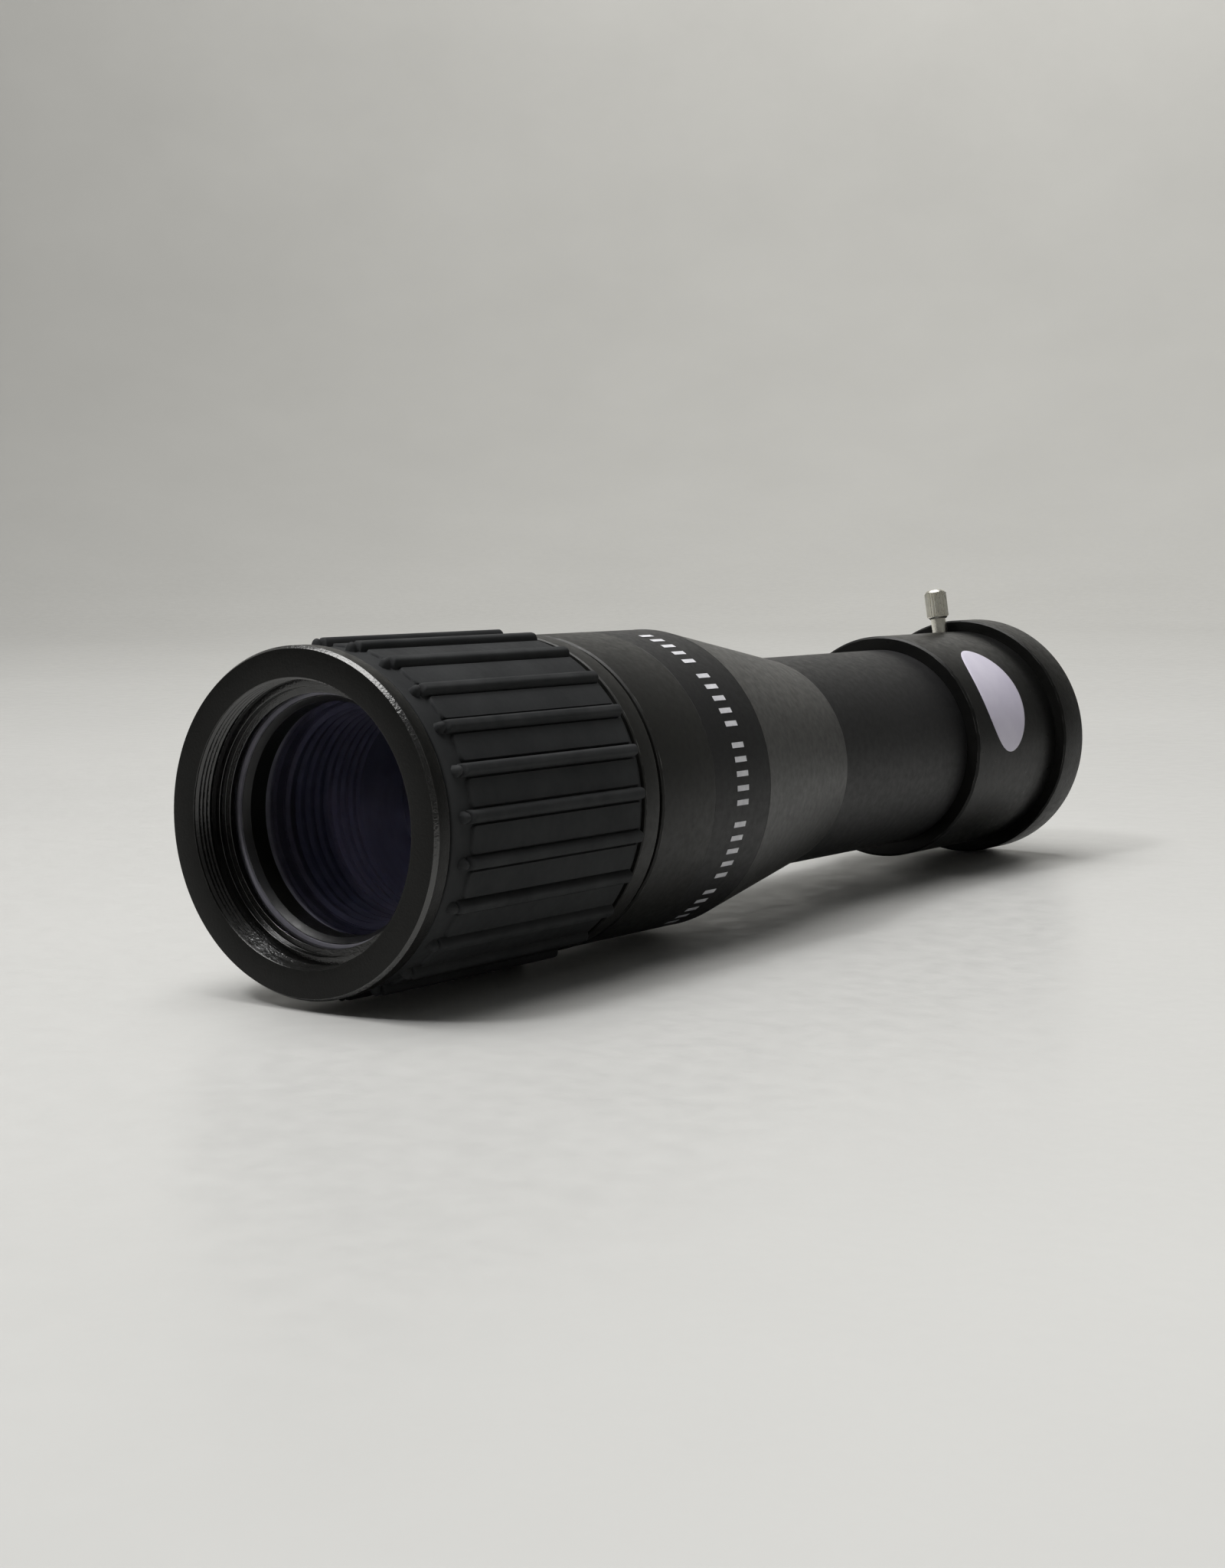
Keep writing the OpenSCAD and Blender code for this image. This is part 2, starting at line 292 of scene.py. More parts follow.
# Thread and steps were cut last: glossy flanks that catch the light in thin lines. Their darker colour and
# darker worn corners are painted shade inside the bore.
ANODISED_THREAD_SHADED = anodised_aluminium("cut_black_anodised_thread", "#050505", "#0A0A09", 0.17, 0.16, 0.04,
    0.65, worn="#50504E")
# The bevel that holds the lens is cut smooth and shows as a soft grey band.
ANODISED_BEVEL = anodised_aluminium("smooth_cut_anodised_bevel", "#111113", "#161618", 0.4, 0.2, 0.01, 0.26)


def moulded_rubber():
    """Moulded black rubber: a dull skin with a fine spark-eroded grain, a touch bluish, worn paler on its
    ribs, with a painted highlight along its pad edges and specks of lint."""
    made, tree, where = new_material("moulded_black_rubber")
    # Paler where "edge" is set: worn rib crests and pips, and a painted highlight along the pad edges.
    base = wear_and_sheen(tree, where, clouded(tree, where, 7, "#2A2B2C", "#353637"), "#3E3F40", 2.4, 0.6)
    base = dusted(tree, where, base, "#D5D5CE", 3.2, 0.03, 0.03)
    grain = add(tree, "ShaderNodeTexNoise",
        {"Vector": where, "Scale": per_grain(0.18), "Detail": 3.0, "Roughness": 0.65}).outputs["Fac"]
    pores = add(tree, "ShaderNodeTexNoise",
        {"Vector": where, "Scale": per_grain(0.6), "Detail": 2.0, "Roughness": 0.5}).outputs["Fac"]
    height = add(tree, "ShaderNodeMath", {0: pores, 1: 0.6, 2: grain}, operation="MULTIPLY_ADD").outputs[0]
    close_material(tree,
        {"Base Color": base, "Roughness": uneven(tree, where, 0.6, 0.60, 0.74), "IOR": 1.52,
            "Specular IOR Level": 0.07}, height, 0.012)
    return made


def fine_finish(name, dark, light, rough, patch_mm=4.0, grain_mm=0.3, depth=0.008, **sockets):
    """A finish with a clouded colour, an uneven gloss and a grain. Other constants go to the shader's
    sockets."""
    made, tree, where = new_material(name)
    grain = add(tree, "ShaderNodeTexNoise",
        {"Vector": where, "Scale": per_grain(grain_mm), "Detail": 3.0, "Roughness": 0.6}).outputs["Fac"]
    close_material(tree,
        {"Base Color": clouded(tree, where, patch_mm, dark, light),
            "Roughness": uneven(tree, where, grain_mm, rough * 0.85, rough * 1.15),
            **{key.replace("_", " "): value for key, value in sockets.items()}}, grain, depth)
    return made


def turned_finish(name, dark, light, rough, metallic, mark_mm=0.2, depth=0.006):
    """A lathe-turned surface: fine rings round the axis, slightly uneven."""
    made, tree, where = new_material(name)
    about = round_axis(tree, where)
    marks = add(tree, "ShaderNodeTexNoise",
        {"Vector": about, "Scale": per_grain(mark_mm), "Detail": 3.0, "Roughness": 0.7}).outputs["Fac"]
    close_material(tree,
        {"Base Color": clouded(tree, where, 3, dark, light),
            "Roughness": uneven(tree, about, mark_mm, rough * 0.8, rough * 1.2), "Metallic": metallic},
        marks, depth)
    return made


def coated_glass(name, tint, film_nm):
    """Crown or flint glass under a single-layer coating, which sends back little light, and that little
    faintly violet. A trace of haze dulls it. Both kinds are drawn with an index of 1.52."""
    made, tree, where = new_material(name)
    haze = add(tree, "ShaderNodeTexNoise",
        {"Vector": where, "Scale": per_grain(0.5), "Detail": 2.0}).outputs["Fac"]
    close_material(tree,
        {"Base Color": clouded(tree, where, 11, tint, "#F6F5FA"),
            "Roughness": uneven(tree, where, 5, 0.0, 0.02, start=0.45, stop=0.8), "IOR": 1.52,
            "Transmission Weight": 1.0, "Specular Tint": linear("#797684"), "Thin Film Thickness": film_nm,
            "Thin Film IOR": 1.38}, haze, 0.00002)
    return made


RUBBER = moulded_rubber()
# Flat optical paint over turning marks, on the blackened parts inside the barrel.
MATT_BLACK = turned_finish("flat_black_paint_on_turned_aluminium", "#0A0A0C", "#121216", 0.62, 0.0, 0.3,
    0.02)
# The same paint on the ridged sleeve, the cell and its spacer. It is drawn mid grey, far paler than such
# paint: painted light, since a true black behind the lenses hides the ridges.
BAFFLE_PAINTED_LIGHT = turned_finish("flat_black_painted_baffle", "#6A6972", "#807F88", 0.5, 0.0, 0.3, 0.02)
# Machined parts left bare: pale metal with fine rings.
BARE_ALUMINIUM = turned_finish("turned_bare_aluminium", "#B9BABC", "#CFD0D2", 0.32, 1.0)
# Turned brass: warm yellow, lightly ringed.
BRASS = turned_finish("turned_brass", "#B4924C", "#C9A862", 0.3, 1.0)
# Nickel plate over brass: bright and slightly warm, with a soft grain.
NICKEL = fine_finish("nickel_plated_brass", "#F6F2E4", "#FDFBF2", 0.3, 1.5, 0.25, 0.004, Metallic=1.0)
# Polyacetal slip ring: waxy, slightly soft black plastic.
BLACK_PLASTIC = fine_finish("moulded_black_acetal", "#121214", "#1A1A1C", 0.42, IOR=1.48)
# Screen-printed ink: thin matt white with a slightly uneven deposit.
WHITE_INK = fine_finish("screen_printed_white_ink", "#C9C9CE", "#E2E2E6", 0.55, 0.8, 0.25, 0.01, IOR=1.5)
# The lenses' ground rims: fine, dull grey.
GROUND_RIM = fine_finish("ground_glass_rim", "#8C8B96", "#9C9BA6", 0.8, 1.5, 0.2, 0.01)
# Coated label paper: smooth, lavender white, with a soft varnish over it.
LABEL_PAPER = fine_finish("coated_label_paper", "#C9C4D6", "#D6D2E1", 0.42, 5, 0.35, 0.006, IOR=1.5,
    Coat_Weight=0.25, Coat_Roughness=0.3)
# Flocked light-trap paper: deep, dusty black pile.
FLOCK = fine_finish("flocked_light_trap_paper", "#050506", "#0B0B0D", 0.9, 2, 0.3, 0.08, Sheen_Weight=0.3)
# Wool felt drag ring: dark red-brown fibre.
FELT = fine_finish("pressed_wool_felt", "#3A1414", "#4E2020", 0.92, 2, 0.35, 0.08, Sheen_Weight=0.4)
GLASS_FRONT = coated_glass("coated_crown_glass", "#E6E5F2", 128.0)
GLASS_REAR = coated_glass("coated_flint_glass", "#E4E3F1", 140.0)


def finish_where(mesh, finish, chosen):
    """Gives a second finish to the faces whose centre (distance from the axis, station, in mm) is chosen."""
    mesh.materials.append(finish)
    for face in mesh.polygons:
        if chosen(math.hypot(face.center.x, face.center.z) / MM, face.center.y / MM):
            face.material_index = len(mesh.materials) - 1


# ---------------------------------------------------------------- turned pieces of the barrel

# Each row: name, closed profile of (distance from the axis, station, fillet), material, body, slot, node.
TURNED = [
    ("front_ring_turned",
     [(THREAD_CREST + 0.02, 3.45), (THREAD_ROOT, 3.3), (THREAD_ROOT, 0.45), (20.85, 0.0, 0.05),
      (25.0, 0, 0.04), (RING_R, 0.66, 0.1), (RING_R, RING_BAND, 0.12), (RING_TAIL_R, RING_BAND),
      (RING_TAIL_R, 11), (INNER_R, 11), (INNER_R, 6.5), (18.5, 6.5, 0.06), (18.5, 5.1, 0.08),
      (19.5, 5.1, 0.05), (19.5, THREAD_DEPTH, 0.08), (THREAD_CREST + 0.02, THREAD_DEPTH)],
     ANODISED, "barrel", "black_anodised", "front_ring"),
    ("body_front_band_turned",
     [(INNER_R, BODY_Y0), (24.9, BODY_Y0, 0.1), (BODY_R, BODY_Y0 + 0.3, 0.15),
      (BODY_R, BODY_Y1 - 0.06, 0.04), (BODY_R - 0.08, BODY_Y1), (INNER_R, BODY_Y1)],
     ANODISED_SATIN, "barrel", "black_anodised", "body_front_band"),
    ("body_tube_turned",
     [(BODY_BORE, BODY_Y1), (BODY_R - 0.08, BODY_Y1), (BODY_R - 0.02, BODY_Y1 + 0.06, 0.04),
      (BODY_R - 0.02, CONE_Y0), (BODY_BORE, CONE_Y0)],
     ANODISED_MATT, "barrel", "black_anodised", "body_tube"),
    # The taper's paler colour is painted light.
    ("taper_cone_turned",
     [(BODY_BORE, CONE_Y0), (BODY_R, CONE_Y0), (NECK_R, CONE_Y1), (NECK_BORE, CONE_Y1)],
     ANODISED_TAPER_PAINTED_LIGHT, "barrel", "black_anodised", "taper_cone"),
    ("neck_tube_turned",
     [(NECK_BORE, CONE_Y1), (NECK_R, CONE_Y1), (NECK_R, HOLDER_Y0), (NECK_SEAT, HOLDER_Y0),
      (NECK_SEAT, NECK_END), (NECK_BORE, NECK_END)],
     ANODISED_MATT, "barrel", "black_anodised", "neck_tube"),
    ("eyepiece_holder_turned",
     [(NECK_SEAT, HOLDER_Y0), (HOLDER_R - 0.4, HOLDER_Y0, 0.1), (HOLDER_R, HOLDER_Y0 + 0.4, 0.15),
      (HOLDER_R, FLANGE_Y0), (SOCKET_R, FLANGE_Y0), (SOCKET_R, GROOVE_Y1, 0.05), (GROOVE_R, GROOVE_Y1),
      (GROOVE_R, GROOVE_Y0), (SOCKET_R, GROOVE_Y0, 0.05), (SOCKET_R, SOCKET_Y0), (NECK_SEAT, SOCKET_Y0)],
     ANODISED_SMOOTH, "barrel", "black_anodised", "eyepiece_holder"),
    ("end_flange_turned",
     [(SOCKET_R, FLANGE_Y0), (FLANGE_R - 0.3, FLANGE_Y0, 0.1), (FLANGE_R, FLANGE_Y0 + 0.3, 0.12),
      (FLANGE_R, REAR_Y - 0.5, 0.2), (FLANGE_R - 0.5, REAR_Y, 0.2), (SOCKET_R + 0.6, REAR_Y, 0.08),
      (SOCKET_R, REAR_Y - 0.6, 0.1)],
     ANODISED, "barrel", "black_anodised", "end_flange"),
    ("grip_end_ring_turned",
     [(SLEEVE_R, RUBBER_Y1), (25.1, RUBBER_Y1, 0.05), (25.3, RUBBER_Y1 + 0.2, 0.15),
      (25.3, GRIP_Y1 - 0.3, 0.15), (25.0, GRIP_Y1, 0.1), (SLEEVE_R, GRIP_Y1)],
     ANODISED_SATIN, "grip", "black_anodised", "grip_end_ring"),
    ("retaining_ring_turned",
     [(RETAINER_BORE, 8.1, 0.1), (RETAINER_R, 6.95, 0.08), (RETAINER_R, LENS_Y0), (RETAINER_BORE, LENS_Y0)],
     ANODISED, "lens_carriage", "black_anodised", "retaining_ring"),
]
made = {}
for name, profile, finish, body, slot_name, node in TURNED:
    made[name] = as_piece(name, turned(name, profile), finish, body, slot_name, node)
finish_where(made["front_ring_turned"].data, ANODISED_CHAMFER, lambda r, y: r > 24.97 and y < 0.7)
# The ring's inside takes the darker thread finish: painted shade in the bore.
finish_where(made["front_ring_turned"].data, ANODISED_THREAD_SHADED, lambda r, y: r < 21.1 and y < 6.6)
finish_where(made["retaining_ring_turned"].data, ANODISED_BEVEL, lambda r, y: r < 18.0 and y < 8.2)


def sag(big, r):
    """Depth of a sphere of radius big at distance r from its pole."""
    return big - math.sqrt(big * big - r * r)


def lens(name, front, back, edge_r, steps=14):
    """A lens with its front and back surfaces given as functions of the distance from the axis."""
    radii = [edge_r * i / steps for i in range(steps + 1)]
    return turned(name, [(r, front(r)) for r in radii] + [(r, back(r)) for r in reversed(radii)],
        segments=96, sharp_deg=25)


def front_surface(r):
    return LENS_Y0 + sag(300, 17.2) - sag(300, min(r, 17.2))


def joint_surface(r):
    return 12.6 + sag(150, r)


def rear_surface(r):
    return 14.6 + sag(600, min(r, 17))


# Each side of the joint stands back by this, so that the two polished surfaces don't lie in one another.
AIR = 0.005
front_lens = as_piece("front_lens_ground",
    lens("front_lens_ground", front_surface, lambda r: joint_surface(r) - AIR, LENS_R), GLASS_FRONT,
    "lens_carriage", "coated_glass", "front_lens")
rear_lens = as_piece("rear_lens_ground",
    lens("rear_lens_ground", lambda r: joint_surface(r) + AIR, rear_surface, LENS_R), GLASS_REAR,
    "lens_carriage", "coated_glass", "rear_lens")
for ground in (front_lens, rear_lens):
    finish_where(ground.data, GROUND_RIM, lambda r, y: r > 17.5)

baffle_profile = [(17.9, BAFFLE_Y0), (17.9, 30), (18.6, 30), (18.6, 46), (BAFFLE_R, 46)]
for ridge in reversed(range(RIDGES)):
    start = BAFFLE_Y0 + 0.2 + ridge * RIDGE_PITCH
    baffle_profile += [(BAFFLE_R, start + RIDGE_PITCH), (BAFFLE_R - 0.8, start + 0.35, 0.06),
                       (BAFFLE_R - 0.8, start + 0.15, 0.06), (BAFFLE_R, start)]
baffle_profile.append((BAFFLE_R, BAFFLE_Y0))
# The sleeve's mid grey paint is painted light behind the lenses.
as_piece("baffle_sleeve_turned",
    turned("baffle_sleeve_turned", baffle_profile, segments=160, fillet_steps=2), BAFFLE_PAINTED_LIGHT,
    "lens_carriage", "matt_black_metal", "baffle_sleeve")


# ---------------------------------------------------------------- geometry nodes tools


def new_tree(name, **inputs):
    """A geometry tree with its named number inputs, and the sockets that carry them."""
    tree = bpy.data.node_groups.new(name, "GeometryNodeTree")
    tree.interface.new_socket("Geometry", in_out="INPUT", socket_type="NodeSocketGeometry")
    for label, value in inputs.items():
        kind = "NodeSocketInt" if isinstance(value, int) else "NodeSocketFloat"
        socket = tree.interface.new_socket(label.replace("_", " "), in_out="INPUT", socket_type=kind)
        socket.default_value = value
    tree.interface.new_socket("Geometry", in_out="OUTPUT", socket_type="NodeSocketGeometry")
    start = tree.nodes.new("NodeGroupInput")
    sockets = {label: start.outputs[label.replace("_", " ")] for label in inputs}
    return tree, sockets, start.outputs["Geometry"]


def close_tree(tree, geometry, finish):
    """Ends a tree in Realize Instances and Set Material."""
    real = add(tree, "GeometryNodeRealizeInstances", {"Geometry": geometry}).outputs["Geometry"]
    painted = add(tree, "GeometryNodeSetMaterial",
        {"Geometry": real, "Material": finish}).outputs["Geometry"]
    add(tree, "NodeGroupOutput", {"Geometry": painted})


def grow(name, tree, values, start_mesh=None):
    """Runs a tree once on a start mesh and returns the result as a plain mesh."""
    carrier = bpy.data.objects.new(name + "_carrier", start_mesh or bpy.data.meshes.new(name + "_start"))
    scene.collection.objects.link(carrier)
    modifier = carrier.modifiers.new("grow", "NODES")
    modifier.node_group = tree
    for item in tree.interface.items_tree:
        label = item.name.replace(" ", "_")
        if item.in_out == "INPUT" and label in values:
            modifier[item.identifier] = values[label]
    graph = bpy.context.evaluated_depsgraph_get()
    mesh = bpy.data.meshes.new_from_object(carrier.evaluated_get(graph), depsgraph=graph)
    mesh.name = name
    carrier.modifiers.remove(modifier)
    bpy.data.objects.remove(carrier)
    return mesh


def face_out(mesh, merge=1e-6, sharp_deg=32):
    """Merges doubles and points every face outwards."""
    shell = bmesh.new()
    shell.from_mesh(mesh)
    bmesh.ops.remove_doubles(shell, verts=shell.verts, dist=merge)
    bmesh.ops.recalc_face_normals(shell, faces=shell.faces)
    shell.to_mesh(mesh)
    shell.free()
    shade(mesh, sharp_deg)
    return mesh


# ---------------------------------------------------------------- front thread: one helical ridge

THREAD_TURNS = 4.0
# Turns the outline so that its narrow side faces the axis.
THREAD_SIDE = -math.pi / 2

tree, size, _ = new_tree("helical_thread", Turns=THREAD_TURNS, Rise=THREAD_TURNS * THREAD_PITCH * MM,
    Mid_Radius=(THREAD_ROOT + THREAD_CREST) / 2 * MM, Ridge_Depth=(THREAD_ROOT - THREAD_CREST) * MM,
    Wide=THREAD_PITCH * 0.94 * MM, Narrow=THREAD_PITCH * 0.16 * MM, Start=0.4 * MM)
helix = add(tree, "GeometryNodeCurveSpiral",
    {"Resolution": 160, "Rotations": size["Turns"], "Start Radius": size["Mid_Radius"],
        "End Radius": size["Mid_Radius"], "Height": size["Rise"], "Reverse": False}).outputs["Curve"]
helix = add(tree, "GeometryNodeSetCurveNormal", {"Curve": helix}, mode="Z_UP").outputs["Curve"]
outline = add(tree, "GeometryNodeCurvePrimitiveQuadrilateral",
    {"Bottom Width": size["Wide"], "Top Width": size["Narrow"], "Offset": 0.0,
        "Height": size["Ridge_Depth"]}, mode="TRAPEZOID").outputs["Curve"]
outline = add(tree, "GeometryNodeTransform",
    {"Geometry": outline, "Rotation": (0.0, 0.0, THREAD_SIDE)}).outputs["Geometry"]
ridge_mesh = add(tree, "GeometryNodeCurveToMesh",
    {"Curve": helix, "Profile Curve": outline, "Fill Caps": True}).outputs["Mesh"]
start_at = add(tree, "ShaderNodeCombineXYZ", {"Y": size["Start"]}).outputs["Vector"]
lying = add(tree, "GeometryNodeTransform",
    {"Geometry": ridge_mesh, "Rotation": (-math.pi / 2, 0, 0), "Translation": start_at}).outputs["Geometry"]
# The ridge takes the darker thread finish: painted shade in the bore.
close_tree(tree, lying, ANODISED_THREAD_SHADED)
thread_mesh = grow("front_thread_ridge", tree,
    {"Turns": THREAD_TURNS, "Rise": THREAD_TURNS * THREAD_PITCH * MM})
as_piece("front_thread_ridge", face_out(thread_mesh), None, "barrel", "black_anodised")


# ---------------------------------------------------------------- rubber grip: one sector, repeated

PIP_Y, PIP_R, RIB_Y0, RIB_END, PAD_Y0, PAD_Y1, PAD_HALF = 6.45, 0.84, 7.3, 48.7, 7.9, 48.3, 2.14
# Arc distances round the rubber are measured at this radius.
ARC_R = 25
SECTOR_HALF = TURN * ARC_R / RIBS / 2


def soft_step(x, low, high):
    t = min(1.0, max(0.0, (x - low) / (high - low)))
    return t * t * (3 - 2 * t)


def rubber_height(s, y):
    """Radius of the rubber at arc distance s from a rib's middle and station y, with how much paler it is
    drawn: wear on the rib and pip, and a painted highlight along the pad's edge."""
    radius, wear_and_sheen = RUBBER_R - 0.3 * soft_step(y, 48.2, 48.5), 0.0
    # Pad, with rounded front corners and a soft shoulder all round.
    corner = 0.9
    dx = max(0.0, abs(SECTOR_HALF - abs(s)) - (PAD_HALF - corner))
    dy = max(0.0, (PAD_Y0 + corner) - y)
    inside = corner - math.hypot(dx, dy) if dy > 0 else PAD_HALF - abs(SECTOR_HALF - abs(s))
    inside = min(inside, PAD_Y1 - y)
    pad = soft_step(inside, -0.02, 0.2)
    radius += (PAD_R - RUBBER_R) * pad
    # The pale line along the pad's shoulder is a painted highlight, not wear.
    wear_and_sheen = max(wear_and_sheen, 1 - abs(inside - 0.16) / 0.14)
    # Rib, with a rounded crest and rounded ends.
    t = abs(s) / (RIB_W / 2)
    if t < 1 and RIB_Y0 < y < RIB_END:
        crown = (1 - t ** 3.4) ** 0.5
        fade = math.sqrt(max(0.0, 1 - (max(0.0, y - RIB_END + 0.6) / 0.6) ** 2))
        fade *= math.sqrt(max(0.0, 1 - (max(0.0, RIB_Y0 + 0.6 - y) / 0.6) ** 2))
        height = (CREST_R - RUBBER_R) * crown * fade
        if RUBBER_R + height > radius:
            radius = RUBBER_R + height
            wear_and_sheen = crown * fade * 0.8
    # Pip: a small dome in front of the rib.
    rho = math.hypot(s, y - PIP_Y) / PIP_R
    if rho < 1:
        dome = (CREST_R - 0.1 - RUBBER_R) * math.sqrt(1 - rho * rho)
        if RUBBER_R + dome > radius:
            radius, wear_and_sheen = RUBBER_R + dome, 0.8 * dome
    return radius, max(0.0, min(1.0, wear_and_sheen))


def stations(*spans):
    """Stations over spans of (start, end, step), without repeats."""
    out = []
    for start, end, step in spans:
        count = max(1, round((end - start) / step))
        out += [start + (end - start) * i / count for i in range(count)]
    return out + [spans[-1][1]]


across = stations((-SECTOR_HALF, -1.55, 0.6), (-1.55, -0.9, 0.11), (-0.9, 0.9, 0.15), (0.9, 1.55, 0.11),
    (1.55, SECTOR_HALF, 0.6))
along = stations((RUBBER_Y0 + 0.3, 5.6, 0.6), (5.6, 9.2, 0.13), (9.2, 46.8, 3.7), (46.8, 47.8, 0.5),
    (47.8, 48.8, 0.1), (48.8, RUBBER_Y1 - 0.25, 0.2))
rows = [("wall", SLEEVE_R + 0.02, RUBBER_Y0), ("wall", 24.62, RUBBER_Y0), ("wall", 24.76, RUBBER_Y0 + 0.03),
    ("wall", 24.86, RUBBER_Y0 + 0.12)]
rows += [("skin", 0, y) for y in along]
rows += [("wall", 24.55, RUBBER_Y1 - 0.08), ("wall", 24.48, RUBBER_Y1 - 0.02), ("wall", 24.4, RUBBER_Y1),
    ("wall", SLEEVE_R + 0.02, RUBBER_Y1)]
verts, wear_and_sheen_weights = [], []
for kind, r, y in rows:
    for s in across:
        angle = math.radians(RIB_PHASE) + s / ARC_R
        radius, wear_and_sheen = rubber_height(s, y) if kind == "skin" else (r, 0.0)
        verts.append((radius * MM * math.cos(angle), y * MM, radius * MM * math.sin(angle)))
        wear_and_sheen_weights.append(wear_and_sheen)
wide = len(across)
faces = []
for i in range(len(rows)):
    j = (i + 1) % len(rows)
    faces += [(i * wide + k, i * wide + k + 1, j * wide + k + 1, j * wide + k) for k in range(wide - 1)]
sector = bpy.data.meshes.new("rubber_sector")
sector.from_pydata(verts, [], faces)
# The "edge" attribute carries the paler share: wear on ribs and pips, painted highlight on the pad edges.
sector.attributes.new("edge", "FLOAT", "POINT").data.foreach_set("value", wear_and_sheen_weights)

tree, size, sector_in = new_tree("sectors_round_axis", Count=RIBS, Step=TURN / RIBS)
spots = add(tree, "GeometryNodeMeshLine", {"Count": size["Count"], "Offset": (0.0, 0.0, 0.0)},
    mode="OFFSET").outputs["Mesh"]
index = add(tree, "GeometryNodeInputIndex").outputs["Index"]
angle = add(tree, "ShaderNodeMath", {0: index, 1: size["Step"]}, operation="MULTIPLY").outputs[0]
turns = add(tree, "ShaderNodeCombineXYZ", {"Y": angle}).outputs["Vector"]
copies = add(tree, "GeometryNodeInstanceOnPoints",
    {"Points": spots, "Instance": sector_in, "Rotation": turns}).outputs["Instances"]
close_tree(tree, copies, RUBBER)
as_piece("rubber_grip_moulded",
    face_out(grow("rubber_grip_moulded", tree, {"Count": RIBS}, sector), 2e-6, 50), None, "grip", "rubber",
    "rubber_grip")


# ---------------------------------------------------------------- printed marks round the body

MARKS = 25
tree, size, _ = new_tree("marks_round_body", Count=MARKS, Per_Group=5, First=math.radians(-76),
    Group_Step=math.radians(29.5), Mark_Step=math.radians(5.3), Radius=(BODY_R + 0.02) * MM,
    Length=MARK_L * MM, Width=MARK_W * MM, Station=MARKS_Y * MM, Thickness=0.04 * MM)
bar_size = add(tree, "ShaderNodeCombineXYZ",
    {"X": size["Thickness"], "Y": size["Length"], "Z": size["Width"]})
bar = add(tree, "GeometryNodeMeshCube", {"Size": bar_size.outputs["Vector"]}).outputs["Mesh"]
out_to = add(tree, "ShaderNodeCombineXYZ", {"X": size["Radius"], "Y": size["Station"]}).outputs["Vector"]
lifted = add(tree, "GeometryNodeTransform", {"Geometry": bar, "Translation": out_to}).outputs["Geometry"]
spots = add(tree, "GeometryNodeMeshLine", {"Count": size["Count"], "Offset": (0.0, 0.0, 0.0)},
    mode="OFFSET").outputs["Mesh"]
index = add(tree, "GeometryNodeInputIndex").outputs["Index"]
shared = add(tree, "ShaderNodeMath", {0: index, 1: size["Per_Group"]}, operation="DIVIDE").outputs[0]
group = add(tree, "ShaderNodeMath", {0: shared}, operation="FLOOR").outputs[0]
within = add(tree, "ShaderNodeMath", {0: index, 1: size["Per_Group"]}, operation="MODULO").outputs[0]
to_group = add(tree, "ShaderNodeMath", {0: group, 1: size["Group_Step"], 2: size["First"]},
    operation="MULTIPLY_ADD").outputs[0]
angle = add(tree, "ShaderNodeMath", {0: within, 1: size["Mark_Step"], 2: to_group},
    operation="MULTIPLY_ADD").outputs[0]
turns = add(tree, "ShaderNodeCombineXYZ", {"Y": angle}).outputs["Vector"]
copies = add(tree, "GeometryNodeInstanceOnPoints",
    {"Points": spots, "Instance": lifted, "Rotation": turns}).outputs["Instances"]
close_tree(tree, copies, WHITE_INK)
as_piece("index_marks_printed", face_out(grow("index_marks_printed", tree, {"Count": MARKS})), None,
    "barrel", "white_ink", "index_marks")


# ---------------------------------------------------------------- blank label on the eyepiece holder


def oval_sheet(name, rings=14, spokes=96, lift=0.15):
    """A curved oval sheet on the holder, its rim rolled down."""
    under_r = HOLDER_R - 0.02
    verts = [((HOLDER_R + lift) * MM, 0, 0)]

    def oval_ring(share, r):
        for k in range(spokes):
            t = TURN * k / spokes
            arc, along_axis = LABEL_W / 2 * share * math.cos(t), LABEL_L / 2 * share * math.sin(t)
            angle = math.asin(arc / HOLDER_R)
            verts.append((r * math.cos(angle) * MM, along_axis * MM, r * math.sin(angle) * MM))

    levels = [(i / rings, lift) for i in range(1, rings)] + [(0.985, lift), (1.0, lift * 0.55), (1.0, 0.0)]
    for share, height in levels:
        oval_ring(share, HOLDER_R + height)
    faces = [(0, 1 + k, 1 + (k + 1) % spokes) for k in range(spokes)]
    for i in range(len(levels) - 1):
        a, b = 1 + i * spokes, 1 + (i + 1) * spokes
        faces += [(a + k, b + k, b + (k + 1) % spokes, a + (k + 1) % spokes) for k in range(spokes)]
    under = len(verts)
    verts.append((under_r * MM, 0, 0))
    last = 1 + (len(levels) - 1) * spokes
    inner = []
    for i in range(rings - 1, 0, -1):
        inner.append(len(verts))
        oval_ring(i / rings, under_r)
    for a, b in zip([last] + inner[:-1], inner):
        faces += [(a + k, b + k, b + (k + 1) % spokes, a + (k + 1) % spokes) for k in range(spokes)]
    faces += [(under, inner[-1] + (k + 1) % spokes, inner[-1] + k) for k in range(spokes)]
    mesh = bpy.data.meshes.new(name)
    mesh.from_pydata(verts, [], faces)
    return face_out(mesh, 1e-9, 40)


as_piece("oval_label_printed", place(oval_sheet("oval_label_printed"), LABEL_ANG, LABEL_Y), LABEL_PAPER,
    "barrel", "label_paper", "oval_label")


# ---------------------------------------------------------------- thumbscrew: turned core, knurl from ridges

